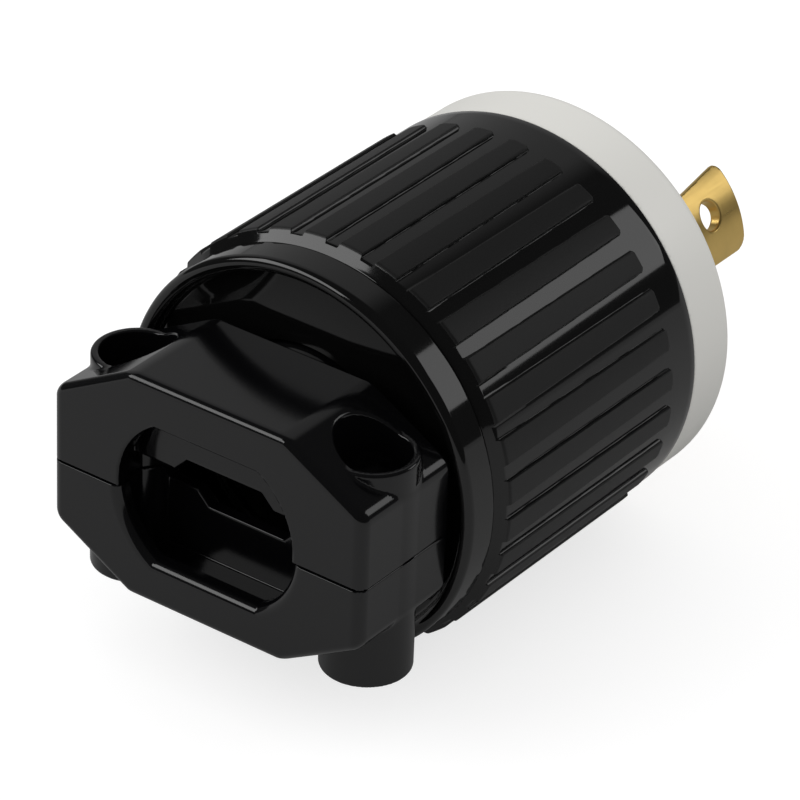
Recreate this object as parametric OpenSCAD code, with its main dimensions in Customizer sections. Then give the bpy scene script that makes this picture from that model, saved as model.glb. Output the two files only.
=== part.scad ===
// Three-wire locking power plug, lying on its side.
// Each piece is modelled round the plug's axis, with y = 0 at the rear end face of the cord
// clamp and +Y towards the blades, and is then laid down on the pads of its barrel.

/* [Lengths along the plug] */
// Length of the cord clamp block
clamp_len = 18.2; // [16:0.1:24]
// Clear distance from the clamp block to the housing's rear lip
lip_gap = 2.1; // [1:0.1:4]
// Length of the band behind the shoulder
lip_len = 4.1; // [3:0.1:6]
// Length of the sloping shoulder
shoulder_len = 1; // [0.6:0.1:2]
// Length of the barrel from the shoulder to the white front body
barrel_len = 43.1; // [41:0.1:50]
// Length of the front body's ring
face_len = 9; // [7.5:0.1:12]
// How far the blades stand out of the face
blade_out = 23.5; // [20:0.1:26]

/* [Housing] */
// Diameter of the barrel between its pads
barrel_d = 57.4; // [56:0.1:60]
// Wall of the barrel
barrel_wall = 2.6; // [2:0.1:3.2]
// How far the band behind the shoulder lies below the barrel
lip_step = 0.8; // [0.5:0.05:1.6]
// Thickness of the rounded rear lip
lip_wall = 2.2; // [1.6:0.1:3]
// Depth of the rear recess inside the lip
recess_depth = 2.2; // [1.4:0.1:3]
// Thickness of the rear wall
rear_wall = 2.4; // [1.6:0.1:3]
// Number of grip pads round the barrel
pad_count = 32; // [24:4:36]
// Width of a pad
pad_w = 3.1; // [2.4:0.1:3.6]
// Height of a pad above the barrel
pad_h = 0.5; // [0.3:0.05:0.7]
// Length of a pad
pad_len = 36.9; // [30:0.1:38]
// Corner radius at the front end of a pad
pad_corner = 0.6; // [0.3:0.1:1]
// Diameter of the screw bosses inside the barrel
boss_d = 8.4; // [7:0.1:9]

/* [Front body] */
// How far the white ring lies below the barrel
ring_step = 0.2; // [0:0.05:0.8]
// Rounding of the ring's front edge
ring_round = 1.6; // [0.6:0.1:2.2]
// Thickness of the face in front of the terminal chambers
face_floor = 10.5; // [9.8:0.1:12]
// Length of the drum behind the ring, which holds the terminals
drum_len = 14; // [13:0.1:16]
// Width of a terminal chamber
chamber_w = 14; // [13.6:0.1:15]
// Clearance between pieces that slide together
slide_gap = 0.3; // [0.2:0.05:0.4]
// Depth of the screw wells in the face
face_well = 3.6; // [3:0.1:5]
// Depth of the shallow dish in the face
face_dish = 0.6; // [0.3:0.1:1]

/* [Blades] */
// Outer radius of the blade circle
blade_r = 14.4; // [13.8:0.1:15]
// Blade thickness
blade_t = 1.9; // [1.5:0.1:2.1]
// Width of a blade, measured as an angle
blade_arc = 48; // [42:1:50]
// Corner radius at the blade tips
blade_corner = 2; // [1:0.1:2.6]
// Diameter of the hole through each blade
blade_hole_d = 4; // [3:0.1:5]
// Distance from the blade tip to the middle of its hole
blade_hole_back = 6.3; // [5:0.1:8]
// Length of the locking notch along the blade
notch_len = 5; // [4:0.1:6]
// Depth of the locking notch
notch_depth = 3.4; // [2.5:0.1:4]
// Distance from the face to the locking notch
notch_rise = 1.2; // [0.8:0.1:2]
// Width of the flat terminal tab
tab_w = 13.2; // [12.8:0.1:13.4]
// Inward reach of the ground blade's bent edge
hook_reach = 4.6; // [3:0.1:5.5]

/* [Terminals] */
// Diameter of a terminal screw's shank
term_screw_d = 4.2; // [3.5:0.1:4.6]
// Diameter of a terminal screw's head
term_head_d = 7.8; // [7:0.1:8.4]
// Height of a terminal screw's head
term_head_h = 2.6; // [2:0.1:3]
// Thickness of a pressure plate
plate_t = 1.5; // [1.2:0.1:2]
// Width of a pressure plate
plate_w = 10.6; // [9:0.1:11.4]
// Length of a pressure plate
plate_len = 9; // [8.6:0.1:10]
// Thickness of the terminal retainer
retainer_t = 4; // [3:0.1:5]
// Diameter of a wire entry
entry_d = 8; // [6:0.1:8.4]
// Wall of the collar round a wire entry
entry_wall = 1.4; // [1:0.1:1.6]
// Distance of the wire entries' middles from the drum's edge
entry_inset = 6.5; // [6.2:0.1:7]

/* [Screws that hold the body together] */
// Distance of the assembly screws' middles from the drum's edge
screw_inset = 4.8; // [4.4:0.1:5.2]
// Diameter of an assembly screw's shank
long_screw_d = 3.8; // [3.4:0.1:4.2]
// Diameter of an assembly screw's head
long_head_d = 7; // [6.4:0.1:7.4]
// Height of an assembly screw's head
long_head_h = 2.4; // [1.8:0.1:2.6]
// Length of thread that an assembly screw has in its boss
long_grip = 13; // [8:0.5:16]
// Diameter of the retainer screw
short_screw_d = 3.4; // [3:0.1:3.8]
// Length of the retainer screw under its head
short_screw_len = 12; // [10:0.5:13]

/* [Cord clamp] */
// Width of the clamp block
clamp_w = 49.9; // [48:0.1:51]
// Height of the clamp block
clamp_h = 33.2; // [32:0.1:35]
// Width of the flat on top of the block
flat_w = 24.8; // [22:0.1:27]
// Height of the upright sides of the block
side_h = 19.3; // [18:0.1:21]
// Rounding of the block's edges
edge_round = 1.1; // [0.5:0.1:1.4]
// Rounding of the block's upright front edges
corner_round = 2; // [1.6:0.1:3.2]
// Height of the parting plane below the axis
split_drop = 1; // [0:0.1:1.6]
// Gap that shows between the two halves
split_gap = 0.3; // [0.2:0.05:0.5]
// Width of the cable opening
cable_w = 28; // [26:0.1:28.4]
// Height of the cable opening
cable_h = 20.3; // [18:0.1:21]
// Radius of the cable opening's round ends
cable_end_r = 11.8; // [11:0.1:12.6]
// Thickness of the end wall round the cable opening
cable_wall = 2.5; // [2:0.1:3.4]
// Rounding of the cable opening's lower lip
lip_round = 1.4; // [0.8:0.1:1.8]
// Width of the passage behind the end wall
passage_w = 29; // [28.6:0.1:30]
// Height of the passage behind the front wall
passage_h = 26; // [23:0.1:26.6]
// Thickness of a gripping rib
rib_t = 2; // [1.5:0.1:2.5]
// Half height left free between the gripping ribs
rib_free = 4.2; // [3:0.1:5]
// How far the shoulders of a rib stand out beyond its middle
rib_step = 2; // [1:0.1:2.4]
// Outer diameter of the screw bosses
clamp_boss_d = 12; // [11.4:0.1:12.6]
// How far the screw bosses stay inside the block's sides
boss_inset = 0.1; // [0.1:0.05:0.6]
// Distance of the screws from the clamp's end face
clamp_boss_y = 9.9; // [9.6:0.1:10.4]
// Height of the boss tops above the axis
boss_top = 12.65; // [11.5:0.05:13.5]
// Depth of the boss ends below the axis
boss_bottom = 18.5; // [17.5:0.1:19.5]
// Diameter of the wells for the screw heads
well_d = 10; // [9.4:0.1:10.4]
// Height of the well floor above the parting plane
well_floor = 3; // [2.4:0.1:4]
// Diameter of a clamp screw's shank
clamp_screw_d = 4.2; // [3.6:0.1:4.6]
// Diameter of a clamp screw's head
clamp_head_d = 8.4; // [7.6:0.1:9]
// Height of a clamp screw's head
clamp_head_h = 2.9; // [2.2:0.1:3.2]
// Width of a square nut across its flats
nut_w = 7; // [6.4:0.1:7.4]
// Thickness of a square nut
nut_t = 3; // [2.4:0.1:3.4]
// Radius of the clamp's neck inside the rear recess
neck_r = 17.4; // [16.5:0.1:18]
// Radius of the neck where it passes through the rear wall
throat_r = 15.2; // [14.6:0.1:15.6]
// Radius of the collar behind the rear wall
collar_r = 16.3; // [16:0.05:16.4]
// Thickness of that collar
collar_t = 2; // [1.5:0.1:2.6]
// Radius of the cable way through the neck
neck_bore_r = 12; // [11:0.1:12.6]

/* [Hidden] */
$fn = 64;
eps = 0.01;
run_gap = 0.1;

y_lip = clamp_len + lip_gap;
y_crease = y_lip + lip_len;
y_barrel = y_crease + shoulder_len;
y_split = y_barrel + barrel_len;
y_face = y_split + face_len;
y_tip = y_face + blade_out;
y_rear_out = y_lip + recess_depth;
y_rear_in = y_rear_out + rear_wall;
y_drum = y_split - drum_len;
y_floor = y_face - face_floor;
y_retainer = y_drum - retainer_t;
y_collar = y_rear_in + slide_gap;
y_term = (y_drum + y_floor) / 2;
y_hole = y_tip - blade_hole_back;

barrel_r = barrel_d / 2;
pad_r = barrel_r + pad_h;
lip_r = barrel_r - lip_step;
crease_step = 0.4;
cavity_r = barrel_r - barrel_wall;
drum_r = cavity_r - slide_gap;
ring_r = barrel_r - ring_step;
screw_circle_r = drum_r - screw_inset;
blade_in = blade_r - blade_t;
plate_r = blade_r + plate_t;
long_hole_r = long_screw_d / 2 + run_gap;
split_z = -split_drop;
boss_x = (clamp_w - clamp_boss_d) / 2 - boss_inset;
well_z = split_z + well_floor;
nut_z = -boss_bottom + nut_t;
nut_floor_z = nut_z + run_gap;

blade_angles = [30, 150, 270];
screw_angles = [90, 210, 330];

// Direction of each pad, and the height at which the plug lies on its lowest pads
pad_angles = [for (i = [0 : pad_count - 1]) (i + 0.5) * 360 / pad_count];
rest_h = max([for (a = pad_angles) pad_r * cos(a - 270) + pad_w / 2 * abs(sin(a - 270))]);

// Moves a piece from the plug's own axis to where the plug lies
module lay_down() translate([0, -y_tip / 2, rest_h]) children();

// Turns what is modelled along +Z so that it runs along +Y
module along_y() rotate([-90, 0, 0]) children();

// Turns what is modelled on the +X side to an angle round the plug, counted towards +Z
module at_angle(a) rotate([0, -a, 0]) children();

// A round bar along +Y between two stations
module bar(r, y0, y1) translate([0, y0, 0]) along_y() cylinder(r = r, h = y1 - y0);

// A screw with its head's underside at z = 0, its shank going down and a domed, slotted head
module screw(shank_r, shank_len, head_r, head_h) {
  slot_w = head_r * 0.28;
  slot_depth = head_h * 0.5;
  difference() {
    union() {
      translate([0, 0, -shank_len]) cylinder(r = shank_r, h = shank_len + eps);
      rotate_extrude() intersection() {
        square([head_r, head_h]);
        translate([0, head_h - head_r * 2.2]) circle(r = head_r * 2.2, $fn = 128);
      }
    }
    for (turn = [0, 90]) rotate([0, 0, turn])
      translate([-head_r * 0.62, -slot_w / 2, head_h - slot_depth])
        cube([head_r * 1.24, slot_w, slot_depth + 1]);
  }
}

// ---- Housing ----

// Half section of the barrel: rounded lip, wall and rear wall, its shoulder still square
module housing_section() {
  lip_mid = lip_r - lip_wall / 2;
  union() {
    polygon([
      [throat_r + slide_gap, y_rear_out],
      [lip_r - lip_wall, y_rear_out],
      [lip_r - lip_wall, y_lip + lip_wall / 2],
      [lip_r, y_lip + lip_wall / 2],
      [lip_r, y_crease],
      [barrel_r, y_crease],
      [barrel_r, y_split - crease_step],
      [barrel_r - crease_step, y_split],
      [cavity_r, y_split],
      [cavity_r, y_rear_in],
      [throat_r + slide_gap, y_rear_in]
    ]);
    translate([lip_mid, y_lip + lip_wall / 2]) circle(d = lip_wall);
  }
}

// Ring cut away round the shoulder: its slope runs through the barrel and the pads' rear ends
module shoulder_cut() {
  out_r = pad_r + 1;
  foot_r = lip_r - crease_step;
  out_y = y_crease + shoulder_len * (out_r - foot_r) / (barrel_r - foot_r);
  along_y() rotate_extrude($fn = 128) polygon([
    [foot_r, y_crease], [lip_r + crease_step, y_crease - 2 * crease_step],
    [out_r, y_crease - 2 * crease_step], [out_r, out_y]
  ]);
}

// Outline of one pad seen from outside: square at the rear, rounded corners at the front
module pad_outline() {
  half = pad_w / 2;
  run = shoulder_len + pad_len;
  translate([-half, 0]) square([pad_w, run - pad_corner]);
  translate([-half + pad_corner, 0]) square([pad_w - 2 * pad_corner, run]);
  for (s = [-1, 1])
    translate([s * (half - pad_corner), run - pad_corner]) circle(r = pad_corner, $fn = 32);
}

// All grip pads, each sunk a little into the barrel
module pads() {
  sunk = 0.8;
  for (a = pad_angles) at_angle(a) translate([barrel_r - sunk, y_crease, 0])
    rotate([0, 90, 0]) linear_extrude(pad_h + sunk) pad_outline();
}

module housing() {
  boss_top_y = y_retainer - slide_gap;
  color([0.07, 0.07, 0.07]) lay_down() difference() {
    union() {
      along_y() rotate_extrude($fn = 128) housing_section();
      pads();
      intersection() {
        bar(cavity_r + 1, y_rear_in - 1, boss_top_y);
        for (a = screw_angles) at_angle(a) union() {
          translate([screw_circle_r, 0, 0]) bar(boss_d / 2, y_rear_in - 1, boss_top_y);
          translate([screw_circle_r, y_rear_in - 1, -boss_d / 4])
            cube([cavity_r + 1 - screw_circle_r, boss_top_y - y_rear_in + 1, boss_d / 2]);
        }
      }
    }
    shoulder_cut();
    for (a = screw_angles) at_angle(a)
      translate([screw_circle_r, 0, 0]) bar(long_hole_r, y_rear_in + 2, boss_top_y + 1);
  }
}

// ---- Blades and terminals ----

// Part of a tube wall round the plug's axis, centred on +X, with a margin on every side
module arc_wall(r_in, r_out, half_angle, y0, y1) {
  big = r_out * 2;
  intersection() {
    translate([0, y0, 0]) along_y() difference() {
      cylinder(r = r_out, h = y1 - y0);
      translate([0, 0, -1]) cylinder(r = r_in, h = y1 - y0 + 2);
    }
    translate([0, y0 - 1, 0]) along_y() linear_extrude(y1 - y0 + 2)
      polygon([[0, 0], [big * cos(half_angle), big * sin(half_angle)], [big, 0],
               [big * cos(half_angle), -big * sin(half_angle)]]);
  }
}

// Outline of a blade seen from outside, as width across and length along the plug
module blade_outline() {
  half = blade_r * sin(blade_arc / 2);
  length = y_tip - y_floor;
  square_len = length - blade_corner;
  difference() {
    union() {
      translate([-half, -1]) square([half * 2, square_len + 1]);
      translate([-half + blade_corner, -1]) square([2 * (half - blade_corner), length + 1]);
      for (s = [-1, 1])
        translate([s * (half - blade_corner), square_len]) circle(r = blade_corner);
    }
    translate([half - notch_depth, y_face - y_floor + notch_rise])
      square([notch_depth + 1, notch_len]);
  }
}

// A blade centred on +X: curved plate with rounded tip, notch, hole and flat terminal tab
module blade_form(hooked) {
  mid_x = blade_r - blade_t / 2;
  half_angle = blade_arc / 2;
  difference() {
    union() {
      intersection() {
        arc_wall(blade_in, blade_r, half_angle, y_floor - 1, y_tip);
        translate([0, y_floor, 0]) rotate([0, 90, 0]) linear_extrude(blade_r + 1)
          blade_outline();
      }
      translate([blade_in, y_drum, -tab_w / 2]) cube([blade_t, y_floor - y_drum, tab_w]);
      if (hooked) at_angle(half_angle)
        translate([blade_r - blade_t - hook_reach, y_floor, -blade_t])
          cube([hook_reach + blade_t / 2, y_tip - blade_corner - y_floor, blade_t]);
    }
    translate([0, y_hole, 0]) rotate([0, 90, 0]) cylinder(d = blade_hole_d, h = blade_r + 2);
    translate([mid_x - blade_t, y_term, 0]) rotate([0, 90, 0])
      cylinder(r = term_screw_d / 2 + run_gap, h = blade_t * 2);
  }
}

module blade(i) color([0.86, 0.68, 0.32]) lay_down() at_angle(blade_angles[i])
  blade_form(hooked = i == 2);

// Square plate that presses the wire on the blade's tab, with turned-down ends
module pressure_plate(i) color([0.86, 0.72, 0.4]) lay_down() at_angle(blade_angles[i])
  difference() {
    translate([blade_r, y_term - plate_len / 2, -plate_w / 2])
      cube([plate_t, plate_len, plate_w]);
    translate([blade_r - 1, y_term, 0]) rotate([0, 90, 0])
      cylinder(r = term_screw_d / 2 + run_gap, h = plate_t + 2);
    for (s = [-1, 1]) translate([blade_r, y_term + s * plate_len / 3, 0])
      rotate([0, 0, 45]) cube([0.7, 0.7, plate_w + 2], center = true);
  }

module terminal_screw(i)
  color(i == 2 ? [0.2, 0.5, 0.3] : [0.86, 0.72, 0.4]) lay_down() at_angle(blade_angles[i])
    translate([plate_r, y_term, 0]) rotate([0, 90, 0])
      screw(term_screw_d / 2, plate_t + blade_t + 1.2, term_head_d / 2, term_head_h);

// ---- Front body, retainer and the screws that hold them ----

// Half section of the ring and the drum behind it, with the ring's front edge rounded
module front_section() {
  union() {
    square_top = y_face - ring_round;
    translate([0, y_drum]) square([drum_r, y_face - y_drum - face_dish]);
    translate([0, y_split]) square([ring_r, square_top - y_split]);
    translate([ring_r - 4 * ring_round, y_split])
      square([3 * ring_round, y_face - y_split]);
    translate([ring_r - ring_round, square_top]) circle(r = ring_round);
  }
}

module front_body() {
  slot_gap = 0.2;
  chamber_in = blade_in - hook_reach - 1;
  color([0.9, 0.9, 0.87]) lay_down() difference() {
    along_y() rotate_extrude($fn = 128) front_section();
    for (i = [0 : 2]) at_angle(blade_angles[i]) {
      translate([chamber_in, y_drum - 1, -chamber_w / 2])
        cube([drum_r + 1 - chamber_in, y_floor - y_drum + 1, chamber_w]);
      arc_wall(blade_in - slot_gap, blade_r + slot_gap, blade_arc / 2 + 1, y_floor - 1, y_face + 1);
      if (i == 2) at_angle(blade_arc / 2)
        translate([blade_in - hook_reach - slot_gap, y_floor - 1, -blade_t - slot_gap])
          cube([hook_reach + blade_t / 2 + slot_gap, face_floor + 2, blade_t + 2 * slot_gap]);
    }
    for (a = screw_angles) at_angle(a) translate([screw_circle_r, 0, 0]) {
      bar(long_hole_r, y_drum - 1, y_face + 1);
      bar(long_head_d / 2 + slide_gap, y_face - face_well, y_face + 1);
    }
    bar(short_screw_d / 2 + run_gap, y_drum - 1, y_retainer + short_screw_len + 0.5);
  }
}

module terminal_retainer() {
  collar_h = 1.6;
  entry_r = entry_d / 2;
  entry_x = drum_r - entry_inset;
  color([0.9, 0.9, 0.87]) lay_down() difference() {
    union() {
      bar(drum_r, y_retainer, y_drum);
      for (a = blade_angles) at_angle(a)
        translate([entry_x, 0, 0]) bar(entry_r + entry_wall, y_retainer - collar_h, y_drum);
    }
    for (a = blade_angles) at_angle(a)
      translate([entry_x, 0, 0]) bar(entry_r, y_retainer - collar_h - 1, y_drum + 1);
    for (a = screw_angles) at_angle(a)
      translate([screw_circle_r, 0, 0]) bar(long_hole_r, y_retainer - 1, y_drum + 1);
    bar(short_screw_d / 2 + run_gap, y_retainer - 1, y_drum + 1);
  }
}

module retainer_screw() color([0.75, 0.75, 0.77]) lay_down()
  translate([0, y_retainer, 0]) rotate([90, 0, 0])
    screw(short_screw_d / 2, short_screw_len, short_screw_d, short_screw_d * 0.6);

module assembly_screw(i) {
  seat_y = y_face - face_well;
  color([0.75, 0.75, 0.77]) lay_down() at_angle(screw_angles[i])
    translate([screw_circle_r, seat_y, 0]) along_y()
      screw(long_screw_d / 2, seat_y - y_retainer + long_grip, long_head_d / 2, long_head_h);
}

// ---- Cord clamp ----

// Eight-sided block with rounded edges, upright front edges rounded more
module clamp_block() {
  in_w = clamp_w / 2 - edge_round;
  in_h = clamp_h / 2 - edge_round;
  flat = flat_w / 2 - edge_round * 0.3;
  side = side_h / 2 - edge_round * 0.5;
  corners = [[flat, in_h], [in_w, side], [in_w, -side], [flat, -in_h],
             [-flat, -in_h], [-in_w, -side], [-in_w, side], [-flat, in_h]];
  intersection() {
    hull() for (c = corners) translate([c[0], 0, c[1]]) {
      translate([0, edge_round, 0]) sphere(r = edge_round, $fn = 24);
      along_y() translate([0, 0, edge_round])
        cylinder(r = edge_round, h = clamp_len - edge_round, $fn = 24);
    }
    translate([0, 0, -clamp_h]) linear_extrude(2 * clamp_h) union() {
      translate([-clamp_w / 2, corner_round]) square([clamp_w, clamp_len]);
      translate([-clamp_w / 2 + corner_round, 0])
        square([clamp_w - 2 * corner_round, clamp_len]);
      for (s = [-1, 1]) translate([s * (clamp_w / 2 - corner_round), corner_round])
        circle(r = corner_round);
    }
  }
}

// Outline of the cable opening: round ends clipped flat above and below
module cable_outline() {
  end_x = cable_w / 2 - cable_end_r;
  intersection() {
    square([cable_w, cable_h], center = true);
    union() {
      for (s = [-1, 1]) translate([s * end_x, 0]) circle(r = cable_end_r, $fn = 96);
      square([2 * end_x, 2 * cable_end_r], center = true);
    }
  }
}

// Gripping rib across the passage, reaching down from above: free middle and lower shoulders
module rib(y0) {
  arch = 6;
  end = passage_w / 2 + eps;
  shoulder_z = rib_free - rib_step;
  translate([0, y0 + rib_t, 0]) rotate([90, 0, 0]) linear_extrude(rib_t)
    polygon([
      [-end, passage_h / 2 + eps], [-end, shoulder_z], [-arch - rib_step, shoulder_z],
      [-arch, rib_free], [arch, rib_free],
      [arch + rib_step, shoulder_z], [end, shoulder_z], [end, passage_h / 2 + eps]
    ]);
}

// The two upright tubes that take the clamp screws
module clamp_bosses() {
  for (s = [-1, 1]) translate([s * boss_x, clamp_boss_y, -boss_bottom])
    cylinder(d = clamp_boss_d, h = boss_top + boss_bottom);
}

// The clamp's outer form before it is parted: block, neck, throat and collar
module clamp_outside() {
  union() {
    clamp_block();
    bar(neck_r, clamp_len - 1, y_rear_out - slide_gap);
    bar(throat_r, clamp_len - 1, y_collar + collar_t);
    bar(collar_r, y_collar, y_collar + collar_t);
  }
}

// The way that the cable takes through the clamp
module clamp_inside() {
  translate([0, -1, 0]) along_y() linear_extrude(cable_wall + 1 + eps) cable_outline();
  translate([-passage_w / 2, cable_wall, -passage_h / 2])
    cube([passage_w, clamp_len - rib_t - cable_wall, passage_h]);
  bar(neck_bore_r, clamp_len - rib_t - 1, y_collar + collar_t + 1);
}

// What the rounding of the cable opening's lower lip takes away, just short of the round ends
module lip_cut() {
  end_x = cable_w / 2 - cable_end_r;
  flat_half = end_x + sqrt(pow(cable_end_r, 2) - pow(cable_h / 2, 2)) - run_gap;
  translate([-flat_half, 0, -cable_h / 2]) difference() {
    translate([0, -1, -lip_round]) cube([2 * flat_half, lip_round + 1, lip_round + 1]);
    translate([-1, lip_round, -lip_round]) rotate([0, 90, 0])
      cylinder(r = lip_round, h = 2 * flat_half + 2);
  }
}

// Everything above the parting plane, or everything below it
module half_space(up) {
  big = 80;
  translate([-big, -1, up ? split_z + split_gap / 2 : split_z - split_gap / 2 - big])
    cube([2 * big, big, big]);
}

module cord_clamp_upper() {
  color([0.09, 0.09, 0.09]) lay_down() difference() {
    union() {
      intersection() {
        difference() {
          clamp_outside();
          clamp_inside();
        }
        half_space(true);
      }
      intersection() {
        clamp_bosses();
        half_space(true);
      }
      rib(cable_wall + 0.75 * rib_t);
    }
    for (s = [-1, 1]) translate([s * boss_x, clamp_boss_y, 0]) {
      translate([0, 0, well_z]) cylinder(d = well_d, h = clamp_h);
      translate([0, 0, split_z - 1])
        cylinder(r = clamp_screw_d / 2 + run_gap, h = well_floor + 2);
    }
  }
}

module cord_clamp_lower() {
  pocket = nut_w + 2 * run_gap;
  color([0.09, 0.09, 0.09]) lay_down() difference() {
    union() {
      intersection() {
        difference() {
          clamp_outside();
          clamp_inside();
        }
        half_space(false);
      }
      intersection() {
        clamp_bosses();
        half_space(false);
      }
      translate([0, 0, -split_drop]) mirror([0, 0, 1]) rib(clamp_boss_y - rib_t / 2);
    }
    lip_cut();
    for (s = [-1, 1]) translate([s * boss_x, clamp_boss_y, 0]) {
      translate([0, 0, -clamp_h]) cylinder(r = clamp_screw_d / 2 + run_gap, h = clamp_h + 1);
      translate([-pocket / 2, -pocket / 2, -boss_bottom - 1])
        cube([pocket, pocket, nut_t + 1]);
    }
  }
}

module clamp_screw(s) color([0.75, 0.75, 0.77]) lay_down()
  translate([s * boss_x, clamp_boss_y, well_z])
    screw(clamp_screw_d / 2, well_z + boss_bottom, clamp_head_d / 2, clamp_head_h);

module clamp_nut(s) color([0.75, 0.75, 0.77]) lay_down()
  translate([s * boss_x, clamp_boss_y, -boss_bottom]) difference() {
    translate([-nut_w / 2, -nut_w / 2, 0]) cube([nut_w, nut_w, nut_t]);
    translate([0, 0, -1]) cylinder(r = clamp_screw_d / 2 + run_gap, h = nut_t + 2);
  }

housing();
front_body();
terminal_retainer();
retainer_screw();
blade(0);  // blade_line_1
blade(1);  // blade_line_2
blade(2);  // blade_ground
pressure_plate(0);  // plate_line_1
pressure_plate(1);  // plate_line_2
pressure_plate(2);  // plate_ground
terminal_screw(0);  // terminal_screw_line_1
terminal_screw(1);  // terminal_screw_line_2
terminal_screw(2);  // terminal_screw_ground
assembly_screw(0);  // assembly_screw_1
assembly_screw(1);  // assembly_screw_2
assembly_screw(2);  // assembly_screw_3
cord_clamp_upper();
cord_clamp_lower();
clamp_screw(-1);  // clamp_screw_left
clamp_screw(1);  // clamp_screw_right
clamp_nut(-1);  // clamp_nut_left
clamp_nut(1);  // clamp_nut_right
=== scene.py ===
"""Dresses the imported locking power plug: moulded nylon body, cord clamp and brass blades.

Pieces are worked out in millimetres in the plug's own frame (y = 0 at the clamp's end face,
+Y towards the blades, the plug's axis at x = z = 0) and are then put in the row's frame.
"""
import logging
import math
from dataclasses import dataclass, field
from enum import Enum
from typing import Callable

import bpy
import numpy as np
from mathutils import Matrix, Vector


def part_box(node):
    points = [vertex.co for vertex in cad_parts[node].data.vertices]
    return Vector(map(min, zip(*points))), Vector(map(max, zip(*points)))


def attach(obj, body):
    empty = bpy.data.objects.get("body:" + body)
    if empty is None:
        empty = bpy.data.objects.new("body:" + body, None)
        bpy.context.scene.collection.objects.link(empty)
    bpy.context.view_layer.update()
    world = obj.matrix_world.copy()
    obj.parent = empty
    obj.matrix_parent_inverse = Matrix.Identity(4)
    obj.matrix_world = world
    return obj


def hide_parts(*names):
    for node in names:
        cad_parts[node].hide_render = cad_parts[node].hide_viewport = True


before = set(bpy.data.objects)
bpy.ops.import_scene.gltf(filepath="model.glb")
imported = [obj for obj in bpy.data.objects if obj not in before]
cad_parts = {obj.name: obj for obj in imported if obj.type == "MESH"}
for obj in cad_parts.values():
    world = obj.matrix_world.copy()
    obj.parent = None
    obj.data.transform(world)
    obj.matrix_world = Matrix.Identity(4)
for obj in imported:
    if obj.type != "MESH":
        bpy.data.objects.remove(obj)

LOG = logging.getLogger("plug")
MM = 0.001
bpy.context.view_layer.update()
Field = Callable[[np.ndarray, np.ndarray, np.ndarray], np.ndarray]


# ---- Where things are ----


@dataclass(frozen=True)
class PlugFrame:
    """The plug's own frame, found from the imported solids.

    Args:
        rear_y: the clamp's end face in the row's frame, in metres.
        axis_z: height of the plug's axis in the row's frame, in metres.
    """

    rear_y: float
    axis_z: float

    @classmethod
    def from_solids(cls) -> "PlugFrame":
        """Reads the frame from the clamp's end face and the round front body."""
        low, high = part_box("front_body")
        return cls(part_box("cord_clamp_upper")[0].y, (low.z + high.z) / 2)

    def to_row(self, points: np.ndarray) -> np.ndarray:
        """Turns points in plug millimetres into row metres.

        Args:
            points: array of (..., 3) points.

        Returns:
            The same points in the row's frame, in metres.
        """
        return points * MM + np.array([0.0, self.rear_y, self.axis_z])


PLUG = PlugFrame.from_solids()


# ---- Meshes from whole arrays ----


def mesh_object(name: str, points: np.ndarray, faces: np.ndarray) -> bpy.types.Object:
    """Makes a closed mesh object whose faces point outwards.

    Args:
        name: the piece's name.
        points: (n, 3) points in plug millimetres.
        faces: (m, 4) corner numbers, all turning the same way round.

    Returns:
        The object, at the origin of the row's frame.
    """
    corners = points[faces]
    normals = np.cross(corners[:, 2] - corners[:, 0], corners[:, 3] - corners[:, 1])
    if np.einsum("ij,ij->", corners.mean(1), normals) < 0:
        faces = faces[:, ::-1]
    mesh = bpy.data.meshes.new(name)
    mesh.vertices.add(len(points))
    mesh.vertices.foreach_set("co", PLUG.to_row(points).astype(np.float32).ravel())
    mesh.loops.add(faces.size)
    mesh.loops.foreach_set("vertex_index", faces.astype(np.int32).ravel())
    mesh.polygons.add(len(faces))
    mesh.polygons.foreach_set("loop_start", np.arange(0, faces.size, 4, dtype=np.int32))
    mesh.update(calc_edges=True)
    mesh.validate()
    mesh.shade_smooth()
    piece = bpy.data.objects.new(name, mesh)
    bpy.context.scene.collection.objects.link(piece)
    return piece


def ring_grid_faces(rows: int, columns: int) -> np.ndarray:
    """Faces of a grid that closes on itself both ways, as a ring does.

    Args:
        rows: number of points round the section.
        columns: number of points round the axis.

    Returns:
        (rows * columns, 4) corner numbers.
    """
    r, c = np.meshgrid(np.arange(rows), np.arange(columns), indexing="ij")
    r2, c2 = (r + 1) % rows, (c + 1) % columns
    corners = [r * columns + c, r * columns + c2, r2 * columns + c2, r2 * columns + c]
    return np.stack([k.ravel() for k in corners], axis=1)


def round_max(a: np.ndarray, b: np.ndarray, radius: float) -> np.ndarray:
    """Distance to what two solids share, with the edge between them rounded.

    Within one radius of both surfaces, the distance is taken from an arc of that radius.
    """
    inner = np.minimum(np.maximum(a, b), -radius)
    return inner + np.hypot(np.maximum(a + radius, 0), np.maximum(b + radius, 0))


def round_min(a: np.ndarray, b: np.ndarray, radius: float) -> np.ndarray:
    """Distance to two solids joined, with a fillet of that radius in the corner between them."""
    return -round_max(-a, -b, radius)


def rod(u: np.ndarray, v: np.ndarray, radius: float) -> np.ndarray:
    """Distance to an endless rod: length of (u, v) less its radius."""
    return np.hypot(u, v) - radius


def slab(u: np.ndarray, low: float, high: float) -> np.ndarray:
    """Distance to the space between two planes: distance from its middle less half its width."""
    return np.abs(u - (low + high) / 2) - (high - low) / 2


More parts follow.
